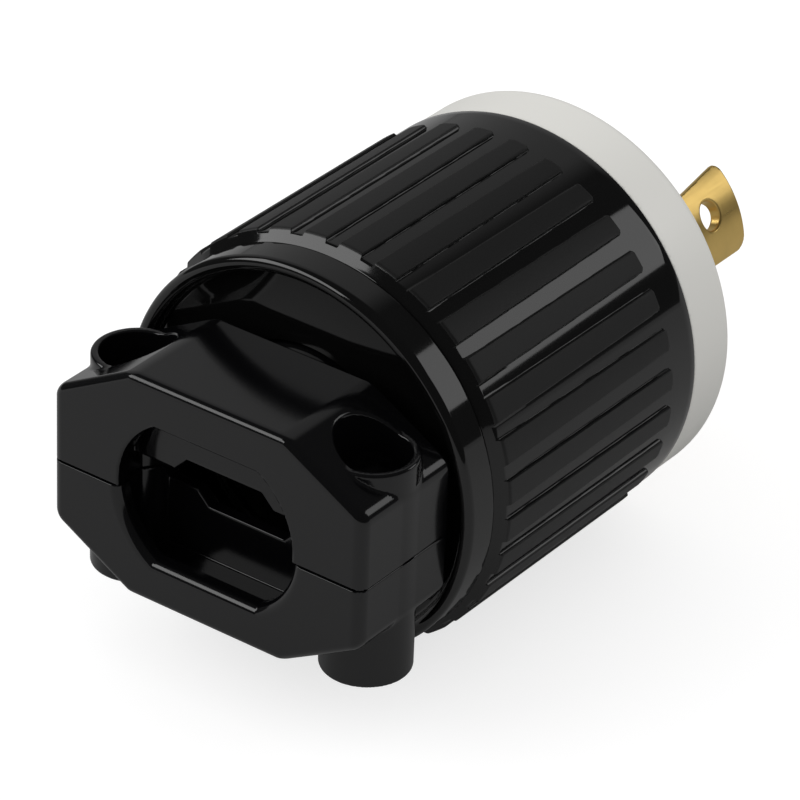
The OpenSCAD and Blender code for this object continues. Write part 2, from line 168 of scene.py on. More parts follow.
@dataclass(frozen=True)
class CastSolid:
    """A moulded or stamped solid given by its distance field, with its edges rounded.

    Args:
        name: the piece's name.
        shape: distance in millimetres from points in plug millimetres, negative inside.
        low: lowest corner of the box that holds it.
        high: highest corner of that box.
        step: spacing of the net over its surface, in millimetres.
    """

    name: str
    shape: Field
    low: tuple[float, float, float]
    high: tuple[float, float, float]
    step: float

    def build(self) -> bpy.types.Object:
        """Nets the surface and gives each point the field's own normal.

        Returns:
            The mesh object.
        """
        points, faces = self._net()
        points, normals = self._settle(points)
        piece = mesh_object(self.name, points, faces)
        piece.data.normals_split_custom_set_from_vertices(normals)
        return piece

    def _net(self) -> tuple[np.ndarray, np.ndarray]:
        """Puts one point in each cell that the surface crosses, and a face round each edge.

        A cell's point is the mean of the crossings on its twelve edges, each found by
        linear interpolation of the field between the edge's ends.
        """
        axes = [np.arange(a, b + self.step, self.step) for a, b in zip(self.low, self.high)]
        value = self.shape(*np.meshgrid(*axes, indexing="ij"))
        inside = value < 0
        shape = np.array(value.shape) - 1
        corners = np.array([(i, j, k) for i in (0, 1) for j in (0, 1) for k in (0, 1)])

        def part(grid: np.ndarray, corner: np.ndarray) -> np.ndarray:
            """The grid seen from one corner of every cell."""
            return grid[tuple(slice(c, c + n) for c, n in zip(corner, shape))]

        count = sum(part(inside, c).astype(np.int8) for c in corners)
        cells = np.argwhere((count > 0) & (count < 8))
        number = np.full(shape, -1, dtype=np.int64)
        number[tuple(cells.T)] = np.arange(len(cells))
        at = np.stack([value[tuple((cells + c).T)] for c in corners], axis=1)
        total, hits = np.zeros((len(cells), 3)), np.zeros((len(cells), 1))
        for a, first in enumerate(corners):
            for b, second in enumerate(corners):
                if b <= a or np.abs(first - second).sum() != 1:
                    continue
                crossed = (at[:, a] < 0) != (at[:, b] < 0)
                share = np.where(crossed, at[:, a] / np.where(crossed, at[:, a] - at[:, b], 1), 0)
                total += crossed[:, None] * (first + share[:, None] * (second - first))
                hits += crossed[:, None]
        points = np.array(self.low) + (cells + total / hits) * self.step
        return points, self._faces(inside, number)

    @staticmethod
    def _faces(inside: np.ndarray, number: np.ndarray) -> np.ndarray:
        """Joins the four cells round each grid edge that the surface crosses."""
        found = []
        for k in range(3):
            a, b = (k + 1) % 3, (k + 2) % 3
            step = np.eye(3, dtype=int)
            first = np.delete(inside, -1, axis=k)
            second = np.delete(inside, 0, axis=k)
            at = np.argwhere(first != second)
            limit = np.array(inside.shape)
            keep = (at[:, [a, b]] > 0).all(1) & (at[:, [a, b]] < limit[[a, b]] - 1).all(1)
            at = at[keep]
            around = [at - step[a] - step[b], at - step[b], at, at - step[a]]
            quad = np.stack([number[tuple(c.T)] for c in around], axis=1)
            turned = ~first[tuple(at.T)]
            quad[turned] = quad[turned][:, ::-1]
            found.append(quad)
        return np.concatenate(found)

    def _settle(self, points: np.ndarray) -> tuple[np.ndarray, np.ndarray]:
        """Moves each point onto the surface along the field's slope, and finds its normal.

        The slope is the central difference over a twentieth of the step, and each move is
        the distance divided by the slope's length, limited to half a step.
        """
        reach = self.step / 20
        for _ in range(4):
            slope = np.stack([
                (self.shape(*(points + reach * e).T) - self.shape(*(points - reach * e).T))
                / (2 * reach) for e in np.eye(3)
            ], axis=1)
            length = np.maximum(np.linalg.norm(slope, axis=1, keepdims=True), 0.3)
            move = self.shape(*points.T)[:, None] / length
            points = points - np.clip(move, -self.step / 2, self.step / 2) * slope / length
        return points, slope / length


# ---- Finishes ----


def linear(code: str) -> tuple[float, float, float, float]:
    """Turns an sRGB hex colour into Blender's linear one.

    Each channel c goes to c / 12.92 below 0.04045, and to ((c + 0.055) / 1.055) ** 2.4 above.

    Args:
        code: six hex digits.

    Returns:
        Linear red, green, blue and an alpha of 1.
    """
    channels = [int(code[i:i + 2], 16) / 255 for i in (0, 2, 4)]
    red, green, blue = (
        c / 12.92 if c <= 0.04045 else ((c + 0.055) / 1.055) ** 2.4 for c in channels
    )
    return red, green, blue, 1.0


def add_node(tree: bpy.types.NodeTree, kind: str, settings: dict | None = None,
             links: dict | None = None, **values: object) -> bpy.types.Node:
    """Adds a node with its settings, socket values and links.

    Args:
        tree: the node tree.
        kind: the node's type name, without "ShaderNode" in front.
        settings: attributes of the node.
        links: input socket name or number to the output socket that feeds it.
        values: input socket name, with _ for a space, to its value.

    Returns:
        The new node.
    """
    node = tree.nodes.new("ShaderNode" + kind)
    for name, value in (settings or {}).items():
        setattr(node, name, value)
    for name, value in values.items():
        node.inputs[name.replace("_", " ")].default_value = value
    for name, source in (links or {}).items():
        tree.links.new(source, node.inputs[name])
    return node


def new_material(name: str) -> tuple[bpy.types.Material, bpy.types.NodeTree]:
    """Makes an empty node material.

    Args:
        name: the finish's name.

    Returns:
        The material and its node tree.
    """
    material = bpy.data.materials.new(name)
    material.use_nodes = True
    material.node_tree.nodes.clear()
    return material, material.node_tree


@dataclass(frozen=True)
class MouldedNylon:
    """Injection-moulded nylon, black or white: a smooth skin with the mould's fine grain.

    Args:
        name: the material's name.
        colour: sRGB hex of the pigment.
        polish: roughness of the polished mould faces.
        texture: roughness where the mould is spark-eroded.
        textured_from: radius in millimetres from which the texture starts, or None.
        grain: size of the spark-eroded grain, in millimetres.
        grain_depth: its depth, in millimetres.
    """

    name: str
    colour: str
    polish: float
    texture: float = 0.5
    textured_from: float | None = None
    grain: float = 0.35
    grain_depth: float = 0.02

    def build(self) -> bpy.types.Material:
        """Mixes polished skin and grain by how far a point lies from the plug's axis.

        Returns:
            The material.
        """
        material, tree = new_material(self.name)
        place = add_node(tree, "TexCoord").outputs["Object"]
        centred = add_node(tree, "Mapping", links={"Vector": place},
                           Location=(0, 0, -PLUG.axis_z)).outputs[0]
        # Slow flow marks of the melt, about 12 mm across
        flow = add_node(tree, "TexNoise", links={"Vector": centred}, Scale=1 / (12 * MM),
                        Detail=2.0).outputs["Fac"]
        fine = add_node(tree, "TexNoise", links={"Vector": centred},
                        Scale=1 / (self.grain * MM), Detail=3.0).outputs["Fac"]
        skin = add_node(tree, "MapRange", links={"Value": flow}, **{
            "From_Min": 0.3, "From_Max": 0.7,
            "To_Min": self.polish * 0.85, "To_Max": self.polish * 1.15}).outputs[0]
        height = fine
        rough = skin
        strength = 0.05
        if self.textured_from is not None:
            flat = add_node(tree, "VectorMath", {"operation": "MULTIPLY"},
                            {0: centred}).outputs[0]
            flat.node.inputs[1].default_value = (1, 0, 1)
            away = add_node(tree, "VectorMath", {"operation": "LENGTH"},
                            {0: flat}).outputs["Value"]
            pad = add_node(tree, "MapRange", links={"Value": away}, **{
                "From_Min": (self.textured_from - 0.05) * MM,
                "From_Max": (self.textured_from + 0.05) * MM}).outputs[0]
            rough = add_node(tree, "Mix", links={"Factor": pad, "A": skin},
                             B=self.texture).outputs[0]
            height = add_node(tree, "Math", {"operation": "MULTIPLY"},
                              {0: fine, 1: pad}).outputs[0]
            strength = 0.6
        bump = add_node(tree, "Bump", links={"Height": height}, Strength=strength,
                        Distance=self.grain_depth * MM).outputs[0]
        shader = add_node(tree, "BsdfPrincipled",
                          links={"Roughness": rough, "Normal": bump},
                          Base_Color=linear(self.colour), IOR=1.53)
        add_node(tree, "OutputMaterial", links={"Surface": shader.outputs[0]})
        return material


@dataclass(frozen=True)
class StampedBrass:
    """Cartridge brass, blanked and tumbled: a satin skin with faint rolling lines along it.

    Args:
        name: the material's name.
        colour: sRGB hex of the metal.
        rough: roughness of the satin skin.
        line: spacing of the rolling lines, in millimetres.
    """

    name: str
    colour: str
    rough: float
    line: float = 0.4

    def build(self) -> bpy.types.Material:
        """Stretches noise along the plug for the rolling lines, and clouds the colour.

        Returns:
            The material.
        """
        material, tree = new_material(self.name)
        place = add_node(tree, "TexCoord").outputs["Object"]
        # Lines drawn out twenty times along the blade
        drawn = add_node(tree, "Mapping", links={"Vector": place}, Scale=(1, 0.05, 1)).outputs[0]
        lines = add_node(tree, "TexNoise", links={"Vector": drawn},
                         Scale=1 / (self.line * MM), Detail=4.0).outputs["Fac"]
        # Tarnish in clouds about 5 mm across
        cloud = add_node(tree, "TexNoise", links={"Vector": place}, Scale=1 / (5 * MM),
                         Detail=3.0).outputs["Fac"]
        tone = add_node(tree, "MapRange", links={"Value": cloud}, **{
            "From_Min": 0.35, "From_Max": 0.7, "To_Min": 0.0, "To_Max": 0.35}).outputs[0]
        base = linear(self.colour)
        dull = tuple(c * 0.72 for c in base[:3]) + (1.0,)
        colour = add_node(tree, "Mix", {"data_type": "RGBA"}, {0: tone})
        colour.inputs[6].default_value = base
        colour.inputs[7].default_value = dull
        rough = add_node(tree, "MapRange", links={"Value": lines}, **{
            "To_Min": self.rough * 0.8, "To_Max": self.rough * 1.25}).outputs[0]
        bump = add_node(tree, "Bump", links={"Height": lines}, Strength=0.35,
                        Distance=0.01 * MM).outputs[0]
        shader = add_node(tree, "BsdfPrincipled",
                          links={"Base Color": colour.outputs[2], "Roughness": rough,
                                 "Normal": bump}, Metallic=1.0)
        add_node(tree, "OutputMaterial", links={"Surface": shader.outputs[0]})
        return material


@dataclass(frozen=True)
class PlatedSteel:
    """Steel screws and nuts, cold headed and plated: a fine satin with a slight cloud.

    Args:
        name: the material's name.
        colour: sRGB hex of the plating.
        rough: roughness of the plating.
        metallic: 1 for bare plating, 0 for a coating over it.
    """

    name: str
    colour: str
    rough: float
    metallic: float = 1.0

    def build(self) -> bpy.types.Material:
        """Clouds the roughness of the plating.

        Returns:
            The material.
        """
        material, tree = new_material(self.name)
        place = add_node(tree, "TexCoord").outputs["Object"]
        # Plating grain about 0.6 mm across
        grain = add_node(tree, "TexNoise", links={"Vector": place}, Scale=1 / (0.6 * MM),
                         Detail=4.0).outputs["Fac"]
        rough = add_node(tree, "MapRange", links={"Value": grain}, **{
            "To_Min": self.rough * 0.7, "To_Max": self.rough * 1.3}).outputs[0]
        bump = add_node(tree, "Bump", links={"Height": grain}, Strength=0.2,
                        Distance=0.01 * MM).outputs[0]
        shader = add_node(tree, "BsdfPrincipled", links={"Roughness": rough, "Normal": bump},
                          Base_Color=linear(self.colour), Metallic=self.metallic)
        add_node(tree, "OutputMaterial", links={"Surface": shader.outputs[0]})
        return material


class Finish(Enum):
    """The plug's finishes, each with the record's slot that it dresses."""

    BARREL = ("black_nylon", MouldedNylon("black_nylon_barrel", "080808", 0.06, 0.52, 28.95))
    CLAMP = ("clamp_nylon", MouldedNylon("black_nylon_clamp", "060607", 0.12))
    FACE = ("white_nylon", MouldedNylon("white_nylon_face", "DBDAD5", 0.42))
    BRASS = ("blade_brass", StampedBrass("satin_brass", "F2CE7C", 0.3))
    GREEN = ("green_brass", PlatedSteel("green_coating", "2E7D4A", 0.35, 0.0))
    STEEL = ("zinc_steel", PlatedSteel("zinc_plate", "C9CBCE", 0.3))

    @property
    def slot(self) -> str:
        """The record's material slot."""
        return self.value[0]


MATERIALS = {finish: finish.value[1].build() for finish in Finish}


def dress(piece: bpy.types.Object, finish: Finish, *nodes: str) -> bpy.types.Object:
    """Gives a new piece its material and body, and hides the solids that it stands for.

    Args:
        piece: the new piece.
        finish: its finish.
        nodes: the solids that it replaces.

    Returns:
        The piece.
    """
    piece.data.materials.clear()
    piece.data.materials.append(MATERIALS[finish])
    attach(piece, "root")
    if nodes:
        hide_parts(*nodes)
    LOG.info("%s: %d faces, %s", piece.name, len(piece.data.polygons), finish.name)
    return piece


# ---- Housing ----


@dataclass
class Housing:
    """The barrel: rounded rear lip, sloping shoulder, thirty-two grip pads and a front band.

    Args:
        sizes in plug millimetres, as radius or station along the plug.
    """

    barrel_r: float = 28.7
    cavity_r: float = 26.1
    throat_r: float = 15.4
    lip_r: float = 27.9
    lip_wall: float = 2.1
    crease: float = 0.4
    lip_y: float = 18.7
    recess_y: float = 20.9
    rear_y: float = 24.9
    crease_y: float = 24.4
    shoulder: float = 1.0
    front_y: float = 68.5
    pads: int = 32
    pad_top: float = 2.8
    pad_foot: float = 3.3
    pad_draft: float = 0.0065
    pad_h: float = 0.5
    pad_end: float = 62.3
    pad_corner: float = 0.6
    edge: float = 0.16

    def _columns(self) -> np.ndarray:
        """Angles round the barrel: closer together at the pads' sides."""
        pitch = 2 * math.pi / self.pads
        top = self.pad_top / 2
        foot = self.pad_foot / 2 + self.pad_draft * (self.pad_end - self.crease_y)
        side = np.linspace(top, foot, 11)
        half_gap = self.barrel_r * pitch / 2
        right = np.concatenate([[0.0, top * 0.45, top * 0.8], side,
                                np.linspace(foot, half_gap, 5)[1:-1]])
        across = np.concatenate([-right[:0:-1], right, [half_gap]]) / self.barrel_r
        starts = (np.arange(self.pads) + 0.5) * pitch
        return (starts[:, None] + across[None, :]).ravel()

    def _pad_height(self, angle: np.ndarray, y: np.ndarray) -> np.ndarray:
        """Height of the pads above the barrel.

        The distance inside a pad's outline, which has rounded front corners, is taken from
        its top edge to its foot and eased by 3t^2 - 2t^3, which rounds both edges.
        """
        pitch = 2 * math.pi / self.pads
        across = np.abs((angle % pitch) - pitch / 2) * self.barrel_r
        spread = (self.pad_foot - self.pad_top) / 2
        foot = self.pad_foot / 2 + self.pad_draft * (self.pad_end - y)
        out = round_max(across - foot, y - (self.pad_end + spread), self.pad_corner)
        share = np.clip(-out / spread, 0, 1)
        return self.pad_h * share * share * (3 - 2 * share)

    def _section(self) -> tuple[np.ndarray, np.ndarray]:
        """Radius and station round the plain section, from the slope's foot back to it.

        Returns:
            Points from the foot of the slope over lip, recess, throat and cavity to the
            front edge, and the stations of the rows along the pads and the front band.
        """
        lip = self.lip_wall / 2
        turn = np.linspace(0, math.pi, 15)
        mid = self.lip_r - lip
        arc = np.stack([mid + lip * np.cos(turn), self.lip_y + lip - lip * np.sin(turn)], 1)
        root = np.linspace(0, math.pi / 2, 6)
        fillet = 0.6
        inner = mid - lip
        hollow = np.stack([inner - fillet + fillet * np.cos(root),
                           self.recess_y - fillet + fillet * np.sin(root)], 1)
        low, c = self.lip_r - self.crease, self.crease
        rear = np.concatenate([
            [[low, self.crease_y], [low + 0.06, self.crease_y - 0.12],
             [self.lip_r - 0.1, self.crease_y - c + 0.04],
             [self.lip_r, self.crease_y - c - 0.12], [self.lip_r, self.crease_y - c - 0.3],
             [self.lip_r, self.lip_y + lip + 0.3], [self.lip_r, self.lip_y + lip + 0.1]],
            arc, hollow,
            [[20.0, self.recess_y], [self.throat_r + 0.3, self.recess_y],
             [self.throat_r, self.recess_y + 0.3], [self.throat_r, self.rear_y - 0.3],
             [self.throat_r + 0.3, self.rear_y], [20.0, self.rear_y],
             [self.cavity_r - 1.0, self.rear_y], [self.cavity_r, self.rear_y + 1.0],
             [self.cavity_r, self.front_y - 8.0], [self.cavity_r, self.front_y - 0.2],
             [self.cavity_r + 0.2, self.front_y], [self.barrel_r - self.crease, self.front_y],
             [self.barrel_r - 0.12, self.front_y - 0.12]]])
        end = self.pad_end
        rows = np.concatenate([
            np.linspace(self.front_y - self.crease, end + 0.5, 6),
            np.linspace(end + 0.4, end - 1.3, 22),
            np.linspace(end - 1.8, self.crease_y + 3.0, 14)])
        return rear, rows

    def build(self) -> None:
        """Carries the section round the axis and lifts the pads out of it.

        A point at angle a and radius r is (r cos a, y, r sin a). Where a column runs into
        the shoulder, the slope's line r = foot + slope (y - crease) ends it, so the rows
        nearest the shoulder follow that edge, which is rounded over a short length.
        """
        angle = self._columns()
        rear, rows = self._section()
        foot = self.lip_r - self.crease
        slope = (self.barrel_r - foot) / self.shoulder
        grid_angle, grid_y = np.meshgrid(angle, rows)
        barrel = self.barrel_r + self._pad_height(grid_angle, grid_y)
        top = self.barrel_r + self._pad_height(angle, np.full_like(angle, self.crease_y + 2))
        top_y = self.crease_y + (top - foot) / slope
        e, tilt = self.edge, math.hypot(1, slope)
        edge_r = [top, top, top - e * 0.13, top - e * 0.45, top - e * slope / tilt]
        edge_y = [top_y + 3 * e, top_y + e, top_y + e * 0.42, top_y + e * 0.02,
                  top_y - e / tilt]
        low = np.full_like(angle, foot)
        slope_r = [top - e * slope / tilt - 0.08 * slope, low + 0.4, low + 0.12, low + 0.03]
        slope_y = [top_y - e / tilt - 0.08] + [
            np.full_like(angle, self.crease_y + rise) for rise in (0.4 / slope, 0.1, 0.02)]
        radius = np.concatenate([barrel, edge_r, slope_r,
                                 np.repeat(rear[:, :1], len(angle), 1)])
        y = np.concatenate([grid_y, edge_y, slope_y, np.repeat(rear[:, 1:], len(angle), 1)])
        points = np.stack([radius * np.cos(angle), y, radius * np.sin(angle)], -1)
        piece = mesh_object("housing_shell", points.reshape(-1, 3),
                            ring_grid_faces(len(radius), len(angle)))
        piece.data.set_sharp_from_angle(angle=math.radians(40))
        dress(piece, Finish.BARREL, "housing")


# ---- Cord clamp ----


class Half(Enum):
    """Which half of the cord clamp."""

    UPPER = 1
    LOWER = -1


@dataclass
class CordClamp:
    """The two moulded halves that grip the cable, parted a little below the axis.

    Args:
        sizes in plug millimetres.
    """

    length: float = 18.2
    half_w: float = 24.95
    half_h: float = 16.6
    flat_half: float = 12.4
    side_half: float = 9.65
    corner: float = 1.6
    front_edge: float = 1.2
    long_edge: float = 0.6
    split: float = -1.0
    gap: float = 0.12
    wall: float = 2.5
    mouth_half_h: float = 10.15
    mouth_end_r: float = 11.8
    mouth_mid: float = 2.2
    passage_half_w: float = 14.5
    passage_half_h: float = 13.0
    rib_half_t: float = 1.0
    rib_y: dict = field(default_factory=lambda: {Half.UPPER: 5.0, Half.LOWER: 9.9})
    rib_free: dict = field(default_factory=lambda: {Half.UPPER: 4.2, Half.LOWER: 5.2})
    rib_step: float = 2.0
    rib_arch: float = 6.0
    boss_x: float = 18.85
    boss_y: float = 9.9
    boss_r: float = 6.1
    boss_top: float = 12.9
    boss_bottom: float = 18.9
    well_r: float = 5.0
    well_floor: float = 3.0
    shank_r: float = 2.2
    nut_half: float = 3.6
    nut_t: float = 3.1
    neck_r: float = 15.2
    neck_y: float = 22.2
    throat_r: float = 15.2
    collar_r: float = 16.3
    collar_y: tuple[float, float] = (25.2, 27.2)
    bore_r: float = 12.0

    def _block(self, x: np.ndarray, y: np.ndarray, z: np.ndarray) -> np.ndarray:
        """Eight-sided block: the planes of its sides, slopes, flats and ends, all rounded."""
        side, flat = np.abs(x) - self.half_w, np.abs(z) - self.half_h
        run, rise = self.half_w - self.flat_half, self.half_h - self.side_half
        size = math.hypot(run, rise)
        slope = ((np.abs(x) - self.flat_half) * rise + (np.abs(z) - self.half_h) * run) / size
        caps = round_max(slope, flat, self.long_edge)
        body = round_max(round_max(side, -y, self.corner), caps, self.front_edge)
        return round_max(body, y - self.length, self.long_edge)

    def _cable_way(self, x: np.ndarray, y: np.ndarray, z: np.ndarray) -> np.ndarray:
        """Mouth with round ends clipped flat, then the wider passage, then the neck's bore."""
        ends = rod(np.maximum(np.abs(x) - self.mouth_mid, 0), z, self.mouth_end_r)
        mouth = np.maximum(ends, np.abs(z) - self.mouth_half_h)
        mouth = np.maximum(mouth, y - self.wall - 0.5)
        box = np.maximum(np.abs(x) - self.passage_half_w, np.abs(z) - self.passage_half_h)
        box = np.maximum(box, slab(y, self.wall, self.length - 2))
        bore = np.maximum(rod(x, z, self.bore_r), self.length - 3 - y)
        return np.minimum(np.minimum(mouth, box), bore)

    def _rib(self, half: Half, x: np.ndarray, y: np.ndarray, z: np.ndarray) -> np.ndarray:
        """Gripping rib: a plate whose free edge steps down in the middle by two slopes."""
        reach = self.rib_free[half] - np.clip(np.abs(x) - self.rib_arch, 0, self.rib_step)
        edge = (reach - half.value * z) * 0.8
        plate = round_max(np.abs(y - self.rib_y[half]) - self.rib_half_t, edge, 0.25)
        inside = np.maximum(np.abs(x) - self.passage_half_w - 0.5,
                            np.abs(z) - self.passage_half_h - 0.5)
        return np.maximum(plate, inside)

    def _shape(self, half: Half) -> Field:
        """The distance field of one half.

        The block, neck and bosses are joined, the cable's way is cut out of them, the boss
        tubes and the rib are put back, and the wells, shank holes and nut pockets are cut.
        """

        def shape(x: np.ndarray, y: np.ndarray, z: np.ndarray) -> np.ndarray:
            """Distance in millimetres, negative inside."""
            out = self._block(x, y, z)
            neck = np.maximum(rod(x, z, self.neck_r), slab(y, self.length - 0.2, self.neck_y))
            throat = np.maximum(rod(x, z, self.throat_r), slab(y, 17.0, self.collar_y[1]))
            collar = np.maximum(rod(x, z, self.collar_r), slab(y, *self.collar_y))
            out = round_min(out, np.minimum(np.minimum(neck, throat), collar), 0.5)
            lip = 0.3 if half is Half.UPPER else 1.4
            out = round_max(out, -self._cable_way(x, y, z), lip)
            across, along = np.abs(x) - self.boss_x, y - self.boss_y
            tube = round_max(rod(across, along, self.boss_r),
                             slab(z, -self.boss_bottom, self.boss_top), 0.45)
            sleeve = np.maximum(rod(across, along, self.boss_r), self._block(x, y, z))
            out = round_min(np.minimum(out, sleeve), tube, 0.3)
            out = round_min(out, self._rib(half, x, y, z), 0.25)
            shank = rod(across, along, self.shank_r)
            if half is Half.UPPER:
                well = np.maximum(rod(across, along, self.well_r),
                                  self.split + self.well_floor - z)
                out = round_max(out, -well, 0.3)
                parting = self.split + self.gap / 2 - z
            else:
                pocket = np.maximum(np.maximum(np.abs(across), np.abs(along)) - self.nut_half,
                                    z + self.boss_bottom - self.nut_t)
                out = round_max(out, -pocket, 0.25)
                parting = z - self.split + self.gap / 2
            out = np.maximum(out, -shank)
            return round_max(out, parting, 0.12)

        return shape

    def build(self) -> None:
        """Nets both halves."""
        far = self.half_w + 0.6
        for half, low, high in ((Half.UPPER, self.split - 0.4, self.half_h + 0.6),
                                (Half.LOWER, -self.boss_bottom - 0.6, self.split + 0.4)):
            name = f"clamp_half_{half.name.lower()}"
            solid = CastSolid(name, self._shape(half), (-far, -0.6, low),
                              (far, self.collar_y[1] + 0.6, high), 0.3)
            dress(solid.build(), Finish.CLAMP, f"cord_clamp_{half.name.lower()}")


# ---- Blades ----


@dataclass
class Blades:
    """Three curved brass blades on one circle, each with a hole and a locking notch.

    Args:
        sizes in plug millimetres and degrees.
    """

    outer_r: float = 14.4
    thick: float = 1.9
    low_side: float = -29.4
    far_low_side: float = -24.0
    high_side: float = 24.2
    taper: float = 0.131
    tip_y: float = 102.1
    root_y: float = 67.0
    tab_y: float = 54.5
    tab_half: float = 6.6
    corner: float = 2.0
    hole_r: float = 2.0
    hole_y: float = 95.65
    face_y: float = 77.5
    notch_rise: float = 1.2
    notch_len: float = 5.0
    notch_depth: float = 2.2
    hook_reach: float = 4.6
    edge: float = 0.3
    seats: dict = field(default_factory=lambda: {
        "blade_line_1": 30.0, "blade_line_2": 150.0, "blade_ground": 270.0})

    def low_of(self, node: str) -> float:
        """Angle of the blade's low side: the far line blade is the narrower one."""
        return self.far_low_side if node == "blade_line_2" else self.low_side

    def _shape(self, node: str) -> Field:
        """The distance field of one blade, centred on +X.

        The plate is measured in the bent strip's own terms: arc length across it, station
        along it and depth through it, with arc length = angle times mid radius.
        """
        mid_r = self.outer_r - self.thick / 2
        low, high = (math.radians(v) * mid_r for v in (self.low_of(node), self.high_side))
        hooked = node == "blade_ground"
        lean = math.radians(self.high_side)
        bevel = math.hypot(1, self.taper)

        def shape(x: np.ndarray, y: np.ndarray, z: np.ndarray) -> np.ndarray:
            """Distance in millimetres, negative inside."""
            across = np.arctan2(z, x) * mid_r
            depth = np.abs(np.hypot(x, z) - mid_r) - self.thick / 2
            edge = (across - high + self.taper * (self.tip_y - y)) / bevel
            outline = round_max(edge, y - self.tip_y, 0.8 * self.corner)
            outline = round_max(outline, low - across, self.corner)
            outline = np.maximum(outline, self.root_y - 1 - y)
            start = self.face_y + self.notch_rise
            root = high - self.taper * (self.tip_y - start) - self.notch_depth
            notch = np.maximum(root - across, slab(y, start, start + self.notch_len))
            outline = round_max(outline, -notch, 0.3)
            plate = round_max(outline, depth, self.edge)
            if hooked:
                out = x * math.cos(lean) + z * math.sin(lean)
                side = z * math.cos(lean) - x * math.sin(lean)
                inner = self.outer_r - self.thick
                hook = round_max(slab(out, inner - self.hook_reach, inner + self.thick / 2),
                                 slab(side, -self.thick, 0.0), self.edge)
                hook = round_max(hook, slab(y, self.root_y, self.tip_y - self.corner), 0.6)
                plate = round_min(plate, hook, 0.5)
            plate = round_max(plate, self.hole_r - np.hypot(across, y - self.hole_y), 0.3)
            tab = np.maximum(slab(x, self.outer_r - self.thick, self.outer_r),
                             np.maximum(np.abs(z) - self.tab_half,
                                        slab(y, self.tab_y, self.root_y)))
            return np.minimum(plate, tab)

        return shape

    def build(self) -> None:
        """Nets each blade and turns it to its seat round the axis."""
        for node, seat in self.seats.items():
            hooked = node == "blade_ground"
            low_x = self.outer_r - self.thick - (self.hook_reach if hooked else 2.0) - 1.6
            solid = CastSolid(node, self._shape(node), (low_x, self.tab_y - 0.6, -8.2),
                              (self.outer_r + 0.6, self.tip_y + 0.6, 7.4), 0.24)
            piece = solid.build()
            turn = Matrix.Translation((0, 0, PLUG.axis_z)) @ Matrix.Rotation(
                -math.radians(seat), 4, "Y") @ Matrix.Translation((0, 0, -PLUG.axis_z))
            piece.data.transform(turn)
            piece.name = node + "_dressed"
            dress(piece, Finish.BRASS, node)


# ---- Front body ----


@dataclass
class FrontBody:
    """White front body: ring with a rounded front edge, dished face, slots and screw wells.

    Args:
        sizes in plug millimetres and degrees.
    """

    ring_r: float = 28.5
    split_y: float = 68.5
    face_y: float = 77.5
    edge: float = 1.6
    dish: float = 0.6
    dish_r: float = 22.1
    drum_r: float = 25.8
    drum_y: float = 54.5
    floor_y: float = 67.0
    chamber_half: float = 7.0
    chamber_in: float = 6.9
    slot_gap: float = 0.2
    screw_r: float = 21.0
    shank_r: float = 2.0
    head_r: float = 3.8
    well: float = 3.6

    def _shape(self, blades: Blades) -> Field:
        """The distance field: ring and drum less chambers, slots, wells and holes."""

        def shape(x: np.ndarray, y: np.ndarray, z: np.ndarray) -> np.ndarray:
            """Distance in millimetres, negative inside."""
            away = np.hypot(x, z)
            ring = round_max(away - self.ring_r, y - self.face_y, self.edge)
            ring = round_max(ring, self.split_y - y, 0.2)
            dish = np.maximum(away - self.dish_r, self.face_y - self.dish - y)
            ring = round_max(ring, -dish, 0.3)
            drum = np.maximum(away - self.drum_r, slab(y, self.drum_y, self.face_y - 2))
            out = np.minimum(ring, drum)
            inner, outer = blades.outer_r - blades.thick, blades.outer_r
            for node, seat in blades.seats.items():
                a = math.radians(seat)
                u, v = x * math.cos(a) + z * math.sin(a), z * math.cos(a) - x * math.sin(a)
                chamber = np.maximum(np.maximum(np.abs(v) - self.chamber_half,
                                                self.chamber_in - u), y - self.floor_y)
                out = np.maximum(out, -chamber)
                arc = np.arctan2(v, u) * outer
                low, high = (math.radians(t) * outer for t in
                             (blades.low_of(node) - 1, blades.high_side + 1))
                slot = np.maximum(slab(away, inner - self.slot_gap, outer + self.slot_gap),
                                  slab(arc, low, high))
                if node == "blade_ground":
                    lean = math.radians(blades.high_side)
                    p, q = (u * math.cos(lean) + v * math.sin(lean),
                            v * math.cos(lean) - u * math.sin(lean))
                    hook = np.maximum(
                        slab(p, inner - blades.hook_reach - self.slot_gap, inner + 1.0),
                        slab(q, -blades.thick - self.slot_gap, self.slot_gap))
                    slot = np.minimum(slot, hook)
                out = round_max(out, -slot, 0.25)
                b = a + math.radians(60)
                post = np.hypot(x - self.screw_r * math.cos(b), z - self.screw_r * math.sin(b))
                hole = np.minimum(post - self.shank_r,
                                  np.maximum(post - self.head_r, self.face_y - self.well - y))
                out = round_max(out, -hole, 0.3)
            return out

        return shape

    def build(self, blades: Blades) -> None:
        """Nets the front body round the blades' slots.

        Args:
            blades: the blades whose slots it has.
        """
        far = self.ring_r + 0.7
        solid = CastSolid("front_body_white", self._shape(blades),
                          (-far, self.drum_y - 0.7, -far), (far, self.face_y + 0.7, far), 0.42)
        dress(solid.build(), Finish.FACE, "front_body")


# ---- Solids that keep their shape ----


